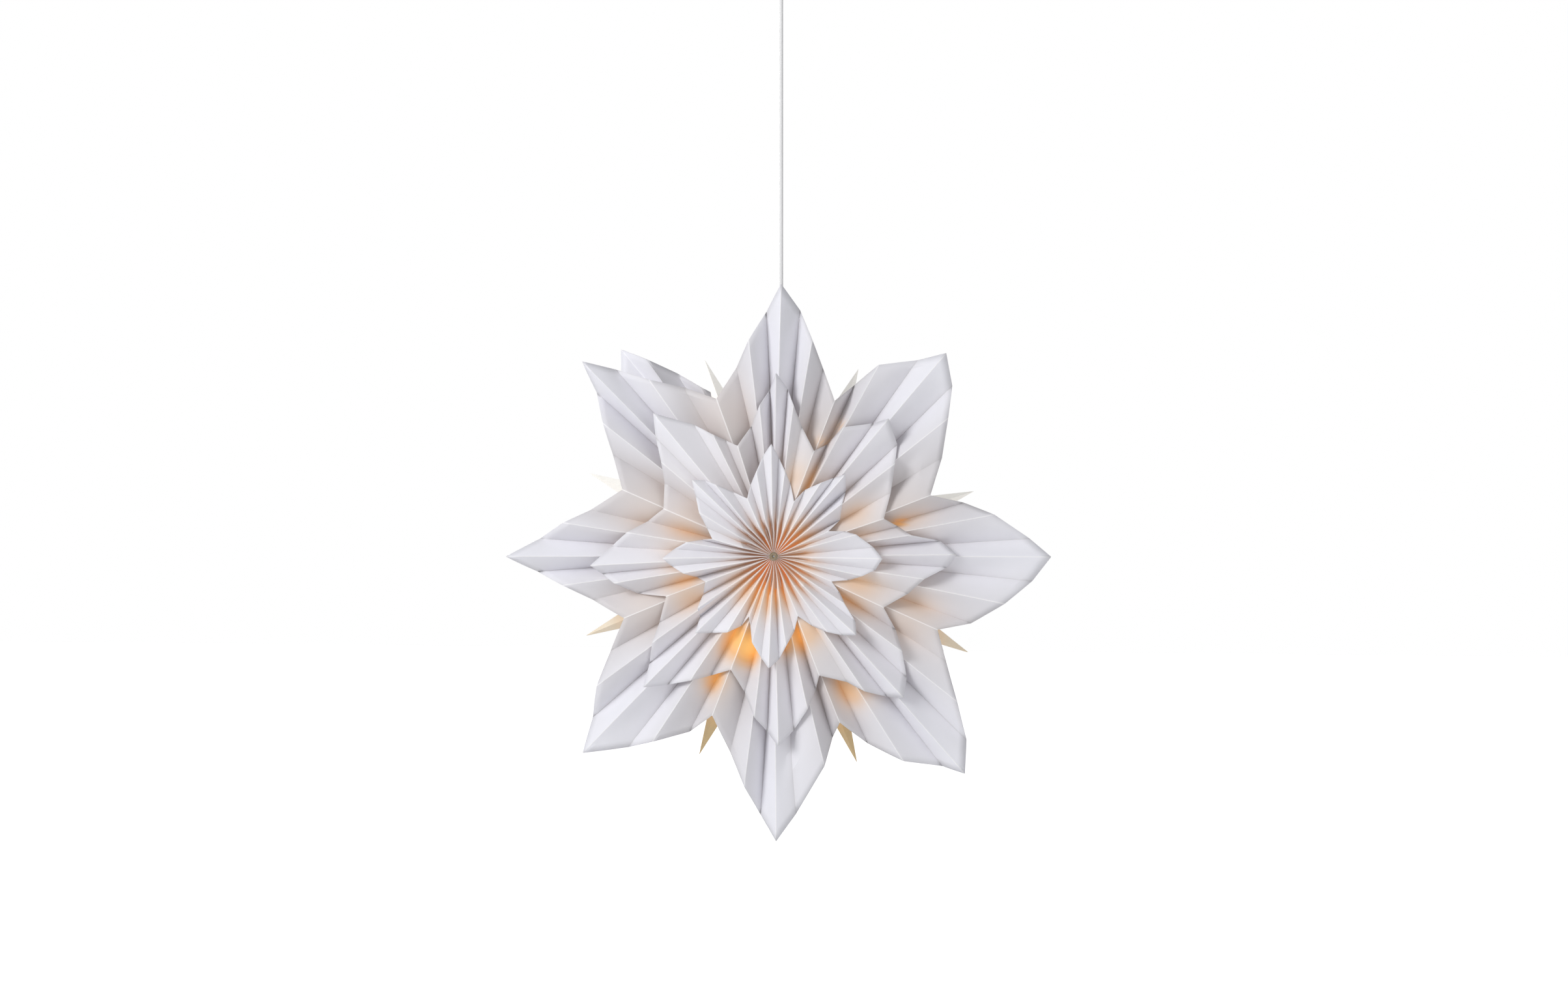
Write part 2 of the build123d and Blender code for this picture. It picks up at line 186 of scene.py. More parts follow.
def makeGrainGroup():
    # Cloudy tone and a fine tooth: tone and height are both sums of a coarse and a fine noise.
    tree, given, out = newGroup(
        "paperGrain",
        [("Cloud Scale", "NodeSocketFloat", 22.0), ("Grain Scale", "NodeSocketFloat", 900.0)],
        [("Tone", "NodeSocketFloat"), ("Height", "NodeSocketFloat")],
    )
    place = objectPlace(tree)
    cloud = noiseAt(tree, place, given.outputs["Cloud Scale"], detail=3.0)
    grain = noiseAt(tree, place, given.outputs["Grain Scale"], detail=2.0)
    fine = calc(tree, "MULTIPLY", grain, 1 - grainMix["clouds"])
    feed(tree, out.inputs["Tone"], calc(tree, "MULTIPLY_ADD", cloud, grainMix["clouds"], fine))
    feed(tree, out.inputs["Height"], calc(tree, "MULTIPLY_ADD", grain, grainMix["tooth"], cloud))
    return tree


def makeFoldGroup():
    # Painted fold light and shade: a thin painted highlight where paper is bent outwards, a thin
    # painted dark line and a soft painted shade where it is bent inwards. A line is the bell curve
    # of its distance over its width, and the shade falls off as an exponential.
    tree, given, out = newGroup(
        "foldHighlightShade",
        [
            ("From Ridge", "NodeSocketFloat", 1.0),
            ("From Valley", "NodeSocketFloat", 1.0),
            ("Line Width", "NodeSocketFloat", 0.0009),
            ("Shade Width", "NodeSocketFloat", 0.007),
        ],
        [("Light", "NodeSocketFloat"), ("Dark", "NodeSocketFloat"), ("Shade", "NodeSocketFloat")],
    )

    def fadeOut(amount):
        return calc(tree, "EXPONENT", calc(tree, "MULTIPLY", amount, -1.0))

    def line(distance):
        share = calc(tree, "DIVIDE", distance, given.outputs["Line Width"])
        return fadeOut(calc(tree, "MULTIPLY", share, share))

    feed(tree, out.inputs["Light"], line(given.outputs["From Ridge"]))
    feed(tree, out.inputs["Dark"], line(given.outputs["From Valley"]))
    shade = calc(tree, "DIVIDE", given.outputs["From Valley"], given.outputs["Shade Width"])
    feed(tree, out.inputs["Shade"], fadeOut(shade))
    return tree


# stops of amount and colour: the painted lamp glow and pleat shade that the paper's colour is
# blended towards, and the painted light that it gives off
lampColors = {
    "full": 3.0,                 # the tint covers the paper fully from one over this amount on
    "throughPaper": {            # painted glow where one paper lies between the lamp and the eye: peach, amber, yellow
        "tints": ((0.0, (0.76, 0.72, 0.71)), (0.25, (0.67, 0.55, 0.47)),
                  (0.55, (0.60, 0.38, 0.22)), (1.0, (0.57, 0.29, 0.10))),
        "lights": ((0.0, (0.015, 0.015, 0.017)), (0.15, (0.07, 0.053, 0.042)),
                   (0.3, (0.12, 0.075, 0.042)), (0.55, (0.27, 0.14, 0.043)),
                   (0.8, (0.47, 0.25, 0.065)), (1.0, (0.60, 0.37, 0.12))),
    },
    "inPleats": {                # painted shade and glow in the narrow depth of the pleats at the hub: tan, red-brown, orange
        "tints": ((0.0, (0.68, 0.62, 0.60)), (0.3, (0.54, 0.37, 0.28)),
                  (0.6, (0.48, 0.20, 0.08)), (1.0, (0.42, 0.09, 0.01))),
        "lights": ((0.0, (0.0, 0.0, 0.0)), (0.3, (0.035, 0.016, 0.006)),
                   (0.6, (0.15, 0.05, 0.006)), (1.0, (0.34, 0.088, 0.006))),
    },
}


def makeWarmGroup(name, stops):
    # Painted lamp light in paper: with a growing amount the paper's colour is blended towards the
    # painted tints and it gives off the painted lights.
    tree, given, out = newGroup(
        name,
        [("Amount", "NodeSocketFloat", 0.0), ("Paper", "NodeSocketColor", (0.8, 0.8, 0.8, 1))],
        [("Color", "NodeSocketColor"), ("Light", "NodeSocketColor")],
    )
    amount = given.outputs["Amount"]
    cover = calc(tree, "MULTIPLY", amount, lampColors["full"], clamp=True)
    tint = rampColor(tree, amount, stops["tints"])
    feed(tree, out.inputs["Color"], blendColors(tree, cover, given.outputs["Paper"], tint))
    feed(tree, out.inputs["Light"], rampColor(tree, amount, stops["lights"]))
    return tree


paperGrain = makeGrainGroup()
foldHighlightShade = makeFoldGroup()
lampThroughPaper = makeWarmGroup("lampThroughPaper", lampColors["throughPaper"])
lampInPleats = makeWarmGroup("lampInPleats", lampColors["inPleats"])
print("shared effects ready")


# the white paper of the sheets
paperLook = {
    "lit": (0.84, 0.845, 0.91, 1),
    "cloudy": (0.77, 0.77, 0.82, 1),
    # painted highlight colour for the ridges, and painted shade colour for the valleys
    "lightLine": (0.95, 0.94, 0.95, 1),
    "valley": (0.46, 0.44, 0.45, 1),
    "dusk": (0.42, 0.385, 0.375, 1),   # painted shade colour for paper that lies deep between others
    "roughness": 0.62,
    "cloudScale": 16.0,
    "grainScale": 1100.0,
    "valleyShade": 0.24,               # how much of each painted fold highlight and shade shows
    "valleyShadeLine": 0.26,
    "ridgeHighlight": 0.75,
    "bump": 0.25,
    "bumpDepth": 0.0004,
}


def makePaper(name, look):
    material, tree, shader = newMaterial(
        name, Roughness=look["roughness"], IOR=1.45, Emission_Strength=1.0
    )
    grain = placeGroup(
        tree, paperGrain,
        **{"Cloud Scale": look["cloudScale"], "Grain Scale": look["grainScale"]}
    )
    foldPaint = placeGroup(
        tree, foldHighlightShade,
        **{"From Ridge": attribute(tree, "fromRidge"), "From Valley": attribute(tree, "fromValley")}
    )
    # painted shade and a thin painted dark line in the valleys, a thin painted highlight on the
    # ridges
    shade = calc(tree, "MULTIPLY", foldPaint.outputs["Shade"], look["valleyShade"])
    dark = calc(tree, "MULTIPLY", foldPaint.outputs["Dark"], look["valleyShadeLine"])
    pale = calc(tree, "MULTIPLY", foldPaint.outputs["Light"], look["ridgeHighlight"])
    color = blendColors(tree, grain.outputs["Tone"], look["cloudy"], look["lit"])
    # painted shade (dusk) where the paper lies deep between others
    color = blendColors(tree, attribute(tree, "dusk"), color, look["dusk"])
    color = blendColors(tree, shade, color, look["valley"])
    color = blendColors(tree, dark, color, look["valley"])
    # painted lamp glow through the paper, then painted glow and shade deep in the pleats at the hub
    lamp = placeGroup(tree, lampThroughPaper, Amount=attribute(tree, "glow"), Paper=color)
    pleats = placeGroup(
        tree, lampInPleats, Amount=attribute(tree, "pleatGlowShade"), Paper=lamp.outputs["Color"]
    )
    # the painted highlight on the ridges lies over everything
    color = blendColors(tree, pale, pleats.outputs["Color"], look["lightLine"])
    tree.links.new(color, shader.inputs["Base Color"])
    # the painted glows are given off as emission
    light = put(tree, "ShaderNodeVectorMath", operation="ADD")
    tree.links.new(lamp.outputs["Light"], light.inputs[0])
    tree.links.new(pleats.outputs["Light"], light.inputs[1])
    tree.links.new(light.outputs["Vector"], shader.inputs["Emission Color"])
    addBump(tree, shader, grain.outputs["Height"], look["bump"], look["bumpDepth"])
    return material


whitePaper = makePaper("whitePaper", paperLook)


# The pleated sheets: lengths are in millimetres.
starFolds = {
    "hubRadius": 2.6,
    "strip": {"large": 35.0, "medium": 31.0, "small": 27.0},   # depth of one panel of the strip
    "front": {"large": 88.5, "medium": 90.8, "small": 93.0},   # ridges from the middle plane
    "sunk": {"large": 12.0, "medium": 6.0, "small": 0.0},      # by how much they start lower
    "sunkReach": 45.0,                   # where they have mostly come up again
    "lift": {"large": -6.5, "medium": 3.0, "small": 4.0},      # by how much they end higher
    "leastPleat": 0.22,                  # depth of the widest pleats, as a share of the strip's
    "clearance": 1.0,                    # between a sheet and the one it lies on
    "clearFrom": 42.0,                   # nearer to the hub the thread holds the sheets together
    "rounds": 3,                         # of flattening the pleats, and of lifting them
    "flattest": 0.72,                    # the least share of its depth that a round leaves a pleat
    "foremost": 113.0,                   # how far the ridges may come forward
    "thickness": 0.4,
    "bow": 0.5,                          # how much a panel curls towards its valley at the hub
    "bowFade": 0.5,                      # the share of that which is lost on the way to the rim
    "dent": 1.0,                         # soft hand-made unevenness of the panels
    "dentPace": (1.5, 3.5),              # waves of it along a panel, in radians per 100 mm
    "dentSecond": 0.6,                   # height of the second wave, of twice the pace
    "dentWidth": 25.0,                   # narrower panels have less of it
    "leastPanel": 4.0,                   # narrower panels have their pale lines drawn as if so wide
    "sharpAngle": 14,                    # degrees
    "packing": 1.25,                     # the rows stand closer at the hub
    "panelSteps": 8,
    "radialSteps": 30,
    # how far a fold belongs to a notch, for the eight folds of a point; it weights the painted
    # shade beside the notches
    "notchness": (0.0, 0.15, 0.4, 0.8, 1.0, 0.8, 0.4, 0.15),
}

# For each point, from the top one clockwise, the ends of its eight folds: turn and reach. One line
# runs from the tip by a valley, a ridge and a valley, and the next so from the notch.
frontSheets = {
    "large": (
        (1.4, 380, 5.5, 347, 10.0, 306, 14.1, 271,
         21.3, 232, 24.6, 264, 28.7, 303, 36.1, 337),
        (40.3, 369, 46.2, 342, 51.6, 308, 59.5, 270,
         68.6, 233, 74.1, 273, 79.1, 310, 85.9, 354),
        (89.9, 382, 95.3, 358, 101.4, 325, 108.7, 288,
         113.9, 248, 121.3, 279, 128.2, 323, 133.6, 368),
        (138.5, 399, 141.4, 373, 147.6, 335, 153.8, 292,
         158.4, 248, 162.8, 267, 166.5, 300, 175.4, 362),
        (179.7, 398, 183.6, 366, 187.6, 325, 193.1, 282,
         201.5, 240, 206.3, 278, 213.5, 314, 217.8, 344),
        (224.4, 391, 228.7, 350, 234.0, 313, 240.1, 272,
         247.6, 231, 256.4, 268, 262.0, 305, 266.0, 346),
        (269.7, 385, 273.9, 341, 278.7, 305, 283.7, 271,
         293.3, 235, 301.6, 272, 307.4, 307, 311.8, 347),
        (315.0, 388, 318.9, 350, 324.3, 305, 331.3, 270,
         339.6, 235, 348.1, 270, 353.1, 304, 357.6, 344),
    ),
    "medium": (
        (0.8, 255, 4.3, 234, 7.7, 212, 12.0, 185,
         21.1, 157, 24.7, 172, 28.5, 204, 36.7, 231),
        (40.0, 249, 47.7, 231, 52.6, 212, 61.3, 185,
         71.0, 162, 76.5, 177, 81.0, 193, 84.6, 231),
        (89.2, 253, 93.5, 240, 98.2, 211, 105.3, 193,
         114.5, 168, 121.3, 197, 126.1, 221, 132.4, 249),
        (137.0, 265, 141.1, 250, 145.5, 224, 149.4, 201,
         158.6, 176, 163.2, 195, 167.4, 217, 173.9, 245),
        (178.5, 263, 182.7, 246, 186.9, 225, 192.7, 196,
         200.9, 169, 208.6, 192, 214.1, 210, 220.1, 238),
        (225.0, 260, 229.6, 236, 234.7, 210, 240.1, 190,
         249.6, 162, 254.6, 203, 260.4, 229, 264.0, 247),
        (267.0, 259, 273.1, 233, 279.0, 210, 284.9, 188,
         293.1, 169, 303.3, 187, 309.9, 205, 315.0, 234),
        (320.0, 260, 328.4, 216, 333.4, 190, 337.0, 176,
         342.0, 162, 349.4, 185, 354.6, 211, 357.9, 233),
    ),
    "small": (
        (-0.5, 156, 2.8, 139, 8.0, 120, 12.6, 105,
         20.8, 82, 25.0, 102, 33.0, 122, 37.6, 138),
        (41.4, 152, 47.6, 134, 52.5, 121, 61.0, 104,
         65.3, 85, 70.6, 106, 75.0, 120, 84.6, 140),
        (90.8, 152, 97.0, 143, 101.8, 127, 107.0, 110,
         112.8, 88, 118.6, 105, 122.8, 119, 127.8, 145),
        (132.5, 158, 138.0, 145, 143.6, 128, 150.5, 110,
         156.9, 89, 164.6, 108, 171.5, 125, 177.0, 143),
        (181.8, 154, 186.6, 141, 193.4, 122, 198.6, 102,
         202.3, 90, 205.5, 108, 211.5, 124, 219.5, 139),
        (225.6, 153, 231.0, 137, 235.8, 129, 242.0, 116,
         249.6, 102, 254.6, 115, 259.4, 129, 264.4, 144),
        (268.9, 155, 274.0, 141, 279.0, 124, 282.5, 105,
         286.0, 88, 293.4, 101, 301.0, 119, 308.0, 137),
        (313.5, 154, 317.8, 143, 321.6, 128, 328.0, 106,
         336.7, 88, 342.6, 104, 349.5, 120, 354.4, 140),
    ),
}

# the large back sheet, from its top point clockwise as seen from behind
backRim = {
    "tipTurns": (1.5, 39.7, 90.3, 137.6, 178.4, 222.8, 269.8, 321.9),
    "notchTurns": (20.4, 66.8, 112.5, 157.5, 200.7, 244.0, 291.4, 341.0),
    "tips": (372, 396, 388, 401, 385, 384, 376, 360),
    "notches": (236, 236, 233, 236, 238, 236, 222, 224),
    "share": (0.0, 0.19, 0.40, 0.64),    # of the turn from a tip to a notch, for the folds between
}

# places of painted lamp glow, where the lamp shines through one paper only: turn, reach, size and
# strength
lampPatches = {
    "large": (
        (206, 192, 15, 0.62), (202, 222, 14, 0.10), (150, 207, 20, 0.42), (21, 170, 26, 0.12),
        (76, 195, 26, 0.20), (286, 180, 40, 0.18), (340, 215, 34, 0.12), (112, 205, 34, 0.24),
        (27.0, 204, 5, 0.35), (21.6, 172, 5, 0.35), (75.4, 179, 5, 0.5), (249, 195, 34, 0.14),
        (148, 228, 16, 0.22),
    ),
    "medium": (
        (201, 122, 16, 0.85), (196, 140, 15, 0.62), (208, 148, 18, 0.20), (161, 116, 19, 0.52),
        (172, 120, 12, 0.35), (286, 130, 30, 0.26), (250, 132, 26, 0.34), (21, 112, 22, 0.28),
        (66, 125, 24, 0.24), (112, 120, 30, 0.34),
    ),
    "small": (
        (198, 60, 22, 0.40), (165, 60, 16, 0.20), (46, 44, 20, 0.30), (112, 45, 20, 0.26),
        (236, 66, 20, 0.18),
    ),
}


def foldsOfRim(rim):
    # A whole rim from its tips and notches: between them the folds share out the turn as the list
    # says, and the reach evenly.
    points, steps = [], len(rim["share"])
    for i, (tipTurn, notchTurn) in enumerate(zip(rim["tipTurns"], rim["notchTurns"])):
        after = (i + 1) % len(rim["tips"])
        nextTurn = rim["tipTurns"][after] + (0 if after else 360)
        tip, notch, nextTip = rim["tips"][i], rim["notches"][i], rim["tips"][after]
        point = []
        for step, share in enumerate(rim["share"]):
            point += [tipTurn + (notchTurn - tipTurn) * share, tip + (notch - tip) * step / steps]
        for step, share in enumerate((1.0,) + rim["share"][:0:-1]):
            turn = nextTurn + (notchTurn - nextTurn) * share
            point += [turn, notch + (nextTip - notch) * step / steps]
        points.append(point)
    return points


def meshFromGrid(name, grid, values, closed=False):
    # The grid is rows by columns by 3. Its columns close into a ring, and so do its rows if it is
    # closed. The values are kept on the points under their labels.
    rows, columns = grid.shape[:2]
    index = np.arange(rows * columns).reshape(rows, columns)
    if closed:
        index = np.concatenate([index, index[:1]])
    after = np.roll(index, -1, axis=1)
    quads = np.stack([index[:-1], index[1:], after[1:], after[:-1]], axis=-1).reshape(-1, 4)
    mesh = bpy.data.meshes.new(name)
    mesh.from_pydata(grid.reshape(-1, 3).tolist(), [], quads.tolist())
    for label, array in values.items():
        kept = mesh.attributes.new(label, "FLOAT", "POINT")
        kept.data.foreach_set("value", array.astype(np.float32).ravel())
    mesh.polygons.foreach_set("use_smooth", np.ones(len(mesh.polygons), bool))
    piece = bpy.data.objects.new(name, mesh)
    bpy.context.scene.collection.objects.link(piece)
    return piece


def heightUnder(lower, turn, radius):
    # How far the sheet below stands in front of the middle plane at these places: its grid is
    # read at the share of the way round between its folds and the share of the way out. Past its
    # rim there is nothing, which is a place far behind.
    heights, start, farBehind = lower["height"], lower["turns"][0], -1e3
    rows, columns = heights.shape
    folds = np.arange(len(lower["turns"]) + 1)
    around = np.append(lower["turns"], start + 360) - start
    place = np.interp((turn - start) % 360, around, folds)
    edge = np.interp(place, folds, np.append(lower["reaches"], lower["reaches"][0]))
    out = (radius - starFolds["hubRadius"]) / (edge - starFolds["hubRadius"])
    column = (place * starFolds["panelSteps"]).astype(int) % columns
    row = np.clip(out, 0, 1) ** (1 / starFolds["packing"]) * (rows - 1)
    row = np.clip(row, 0, rows - 1.001)    # just short of the last row, which has none after it
    low = row.astype(int)
    height = heights[low, column] * (1 - row + low) + heights[low + 1, column] * (row - low)
    return np.where(out > 1.0, farBehind, height)


def pleatedSheet(name, tier, folds, facing, seed, lower):
    # A fold line runs straight from the hub to its end on the rim. A panel is the blend of its two
    # fold lines. Ridges keep their distance from the middle plane, and a valley lies behind them by
    # the height of a right triangle whose slope is the strip's depth and whose base is the gap
    # between the folds. Across a panel the depth is partly a straight line and partly one minus a
    # cosine, so that the paper is flat at its ridge and curls into its valley. Dents are two sine
    # waves along a panel, highest at its middle. Where a fold would cut into the sheet below, its
    # pleat is made flatter, and then it is lifted; both are eased along the fold.
    turns, reaches = np.array(folds, float).reshape(-1, 2).T
    count = len(turns)
    steps, rows = starFolds["panelSteps"], starFolds["radialSteps"]
    outward = (np.linspace(0, 1, rows) ** starFolds["packing"])[:, None]
    radians, hubRadians = np.radians(turns), np.radians(np.arange(count) * 360 / count)
    hub = starFolds["hubRadius"]
    hubX, hubZ = hub * np.sin(hubRadians), hub * np.cos(hubRadians)
    foldX = hubX + (reaches * np.sin(radians) - hubX) * outward
    foldZ = hubZ + (reaches * np.cos(radians) - hubZ) * outward
    radius = np.hypot(foldX, foldZ)
    gapAfter = np.diff(np.append(turns, turns[0] + 360))
    gap = np.radians((gapAfter + np.roll(gapAfter, 1)) / 2) * radius
    strip = starFolds["strip"][tier]
    pleat = np.sqrt(np.maximum(strip ** 2 - gap ** 2, (starFolds["leastPleat"] * strip) ** 2))
    rise = starFolds["front"][tier] + starFolds["lift"][tier] * radius / max(reaches)
    rise = rise - starFolds["sunk"][tier] * np.exp(-(radius / starFolds["sunkReach"]) ** 2)
    isValley = np.arange(count) % 2 == 1
    across = (np.arange(steps) / steps)[None, None, :]

    def spread(fold):
        # values on the fold lines become values on all grid columns
        return fold[:, :, None] + (np.roll(fold, -1, axis=1) - fold)[:, :, None] * across

    x, z = spread(foldX), spread(foldZ)
    fromRidge = np.where(isValley[None, :, None], 1 - across, across) * np.ones((rows, count, 1))
    curl = starFolds["bow"] * (1 - starFolds["bowFade"] * outward[:, :, None])
    profile = (1 - curl) * fromRidge + curl * (1 - np.cos(fromRidge * np.pi / 2))
    rng = np.random.default_rng(seed)
    phase = rng.uniform(0, 6.28, (2, count))
    pace = rng.uniform(*starFolds["dentPace"], (2, count))
    along = radius / 100
    second = np.sin(along * pace[1] * 2 + phase[1])
    wave = np.sin(along * pace[0] + phase[0]) + starFolds["dentSecond"] * second
    dent = starFolds["dent"] * wave[:, :, None] * np.sin(np.pi * across) ** 2
    dent = dent * np.minimum(gap / starFolds["dentWidth"], 1)[:, :, None]
    place, reach = np.degrees(np.arctan2(x, z)), np.hypot(x, z)

    def depthNow():
        return np.where(isValley, pleat, np.roll(pleat, -1, axis=1))[:, :, None] * profile + dent

    def shortNow():
        # by how much each panel is too low for the sheet below
        need = heightUnder(lower, place, reach) + starFolds["clearance"]
        short = need - (spread(rise) - depthNow())
        return np.where(reach > starFolds["clearFrom"], short, 0).clip(0).max(axis=2)

    def eased(values):
        # the mean of five rows
        padded = np.pad(values, ((2, 2), (0, 0)), mode="edge")
        return sum(padded[k:k + rows] for k in range(5)) / 5

    rounds = starFolds["rounds"] if lower else 0
    for _ in range(rounds):
        short = shortNow()
        short = np.maximum(short, np.roll(short, 1, axis=1))
        share = np.clip(1 - short / pleat, starFolds["flattest"], 1)
        pleat = pleat * np.where(isValley, eased(share), 1)
    for _ in range(rounds):
        short = shortNow()
        short = np.maximum.accumulate(np.maximum(short, np.roll(short, 1, axis=1)), axis=0)
        rise = rise + eased((short + np.roll(short, 1, axis=1) + np.roll(short, -1, axis=1)) / 3)
    rise = np.minimum(rise, starFolds["foremost"])
    height = spread(rise) - depthNow()
    grid = np.stack([facing * x, -facing * height, z], axis=-1).reshape(rows, count * steps, 3)
    width = np.hypot(x[:, :, 1:2] - x[:, :, 0:1], z[:, :, 1:2] - z[:, :, 0:1]) * steps
    notchness = starFolds["notchness"]
    notchness = np.tile(notchness, count // len(notchness))[None, :] * np.ones((rows, 1))
    afterRidge = np.where(isValley, -1.0, 1.0)[None, :, None]
    glow, pleatGlowShade, dusk = lampGlow(tier, x, z, fromRidge, afterRidge, spread(notchness))
    grid = grid * millimetre + np.array([0, 0, starZ])
    piece = meshFromGrid(name, grid, {
        "fromRidge": fromRidge * np.maximum(width, starFolds["leastPanel"]) * millimetre,
        "fromValley": (1 - fromRidge) * width * millimetre,
        "glow": glow,
        "pleatGlowShade": pleatGlowShade,
        "dusk": dusk,
    })
    piece.data.set_sharp_from_angle(angle=math.radians(starFolds["sharpAngle"]))
    wall = piece.modifiers.new("paper", "SOLIDIFY")
    wall.thickness = starFolds["thickness"] * millimetre
    wall.offset = 0.0
    piece.data.materials.append(whitePaper)
    print(name, "stands", round(float(height.max()), 1), "mm in front of the middle plane")
    height = height.reshape(rows, count * steps)
    return piece, {"turns": turns, "reaches": reaches, "height": height}


# the painted orange glow and shade in the depth of the pleats round the hub: how strong it is at
# which turn
pleatGlow = {
    "turns": (0, 20, 45, 68, 88, 104, 125, 165, 205, 228, 248, 272, 295, 315, 340, 360),
    "strengths": (0.85, 0.95, 1.0, 0.8, 0.4, 0.6, 1.0, 1.0,
                  1.0, 0.9, 0.5, 0.5, 0.65, 0.95, 1.0, 0.85),
    "size": 50.0,
    "below": 6.0,                # its middle lies this much below the hub
    "whole": 1.5,
    "flank": 0.78,               # every panel has this much of it
    "facing": 0.42,              # and this much more or less by the way it faces the key light
    "looks": 45,                 # degrees: the panels that look down to the right, away from the key light, have most
    "sharpness": 0.8,            # how it gathers in the valleys
}

# soft painted light and shade on a sheet: painted lamp glow near the hub, painted shade (dusk)
# under the sheet above and beside the notches
sheetTone = {
    "covered": {"large": 185, "medium": 112, "small": 30},        # reach of the sheet above it
    # painted lamp glow that lies over the paper round the hub, and how far out it reaches
    "hubGlow": {"large": 0.13, "medium": 0.11, "small": 0.04},
    "hubGlowReach": 190,
    "notchDusk": {"large": 0.50, "medium": 0.42, "small": 0.16},
    "notchFrom": 120,            # nearer to the hub the painted shade beside the notches fades
    "deepDusk": 0.42,            # painted shade under the sheet above
    "softness": 24,              # of that sheet's shade
    "mostDusk": 0.8,
    "ridgeGlow": 0.6,            # share of a glow patch that is on the ridges too
}


def lampGlow(tier, x, z, fromRidge, afterRidge, notchness):
    # The painted lamp glow is a sum of round bell shapes round the patches, more in the valleys
    # than on the ridges. Close to the hub the pleats get painted orange glow and shade, more so
    # above and below than at the sides and on the flanks that look down to the right, away from the
    # key light.
    # Paper that lies close to the sheet above, or beside a notch, gets painted shade (dusk).
    glow = np.zeros(x.shape)
    for turn, reach, size, strength in lampPatches[tier]:
        dx = x - reach * math.sin(math.radians(turn))
        dz = z - reach * math.cos(math.radians(turn))
        glow = glow + strength * np.exp(-(dx ** 2 + dz ** 2) / (2 * size ** 2))
    reach, around = np.hypot(x, z), np.arctan2(x, z)
    onRidge = sheetTone["ridgeGlow"]
    glow = glow * (onRidge + (1 - onRidge) * fromRidge)
    glow = glow + sheetTone["hubGlow"][tier] * np.exp(-(reach / sheetTone["hubGlowReach"]) ** 2)
    near = np.exp(-(np.hypot(x, z + pleatGlow["below"]) / pleatGlow["size"]) ** 2)
    turn = np.degrees(around) % 360
    strength = pleatGlow["whole"] * np.interp(turn, pleatGlow["turns"], pleatGlow["strengths"])
    flank = afterRidge * np.sin(around + math.radians(pleatGlow["looks"]))
    flank = pleatGlow["flank"] + pleatGlow["facing"] * flank
    pleatGlowShade = strength * near * flank * fromRidge ** pleatGlow["sharpness"]
    under = 1 + np.exp((reach - sheetTone["covered"][tier]) / sheetTone["softness"])
    beside = sheetTone["notchDusk"][tier] * notchness
    beside = beside * np.clip(reach / sheetTone["notchFrom"], 0, 1)
    dusk = sheetTone["deepDusk"] / under + beside
    return np.clip(glow, 0, 1), np.clip(pleatGlowShade, 0, 1), np.clip(dusk, 0, sheetTone["mostDusk"])


def makeSheets():
    # a half is named with the way it faces, the seed of its first sheet and its rims
    backSheets = dict(frontSheets, large=foldsOfRim(backRim))
    for side, facing, seed, sheets in (("front", 1, 7, frontSheets), ("back", -1, 17, backSheets)):
        lower = None
        for number, (tier, folds) in enumerate(sheets.items()):
            name = side + tier.capitalize() + "Sheet"
            piece, lower = pleatedSheet(name, tier, folds, facing, seed + number, lower)
            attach(piece, "star")
            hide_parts(f"{side}_{tier}_star")
        print(side, "sheets ready")


makeSheets()


# the thread that ties the pleats at the hub, in millimetres
hubThread = {
    "coil": 3.9,                 # radius of the ring that the thread is wound round
    "swell": 2.0,                # radius of one winding
    "thread": 0.5,               # radius of the thread
    "windings": 17,
    "rows": 408,                 # points along the thread, and round it
    "sides": 8,
    "front": 95.2,               # distance of the ring from the star's middle plane
    "color": (0.46, 0.37, 0.25, 1),
    "shade": (0.26, 0.19, 0.12, 1),
    "roughness": 0.8,
    "cloudScale": 900.0,
    "grainScale": 4000.0,
}


def makeThreadMaterial():
    material, tree, shader = newMaterial("tanThread", Roughness=hubThread["roughness"], IOR=1.45)
    twist = placeGroup(
        tree, paperGrain,
        **{"Cloud Scale": hubThread["cloudScale"], "Grain Scale": hubThread["grainScale"]}
    )
    color = blendColors(tree, twist.outputs["Tone"], hubThread["shade"], hubThread["color"])
    tree.links.new(color, shader.inputs["Base Color"])
    return material


def makeThread(name, facing, nodeName, material):
    # A closed line winds round a ring: its distance from the axis is the ring's plus the cosine of
    # the winding angle, and its depth is the sine. Round each of its points stands a small circle.
    around = np.linspace(0, 2 * np.pi, hubThread["rows"], endpoint=False)
    winding = around * hubThread["windings"]
    reach = hubThread["coil"] + hubThread["swell"] * np.cos(winding)
    line = np.stack([
        reach * np.cos(around),
        -facing * (hubThread["front"] + hubThread["swell"] * np.sin(winding)),
        reach * np.sin(around),
    ], axis=-1)
    along = np.roll(line, -1, axis=0) - np.roll(line, 1, axis=0)
    along = along / np.linalg.norm(along, axis=1, keepdims=True)
    out = np.stack([np.cos(around), 0 * around, np.sin(around)], axis=-1)
    out = np.cross(np.cross(along, out), along)
    out = out / np.linalg.norm(out, axis=1, keepdims=True)
    side = np.cross(along, out)
    angle = np.linspace(0, 2 * np.pi, hubThread["sides"], endpoint=False)[:, None, None]
    ring = line + hubThread["thread"] * (np.cos(angle) * out + np.sin(angle) * side)
    piece = meshFromGrid(name, ring * millimetre + np.array([0, 0, starZ]), {}, closed=True)
    piece.data.materials.append(material)
    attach(piece, "star")
    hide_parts(nodeName)


tanThread = makeThreadMaterial()
makeThread("frontThread", 1, "front_hub_tie", tanThread)
makeThread("backThread", -1, "back_hub_tie", tanThread)
print("hub threads ready")


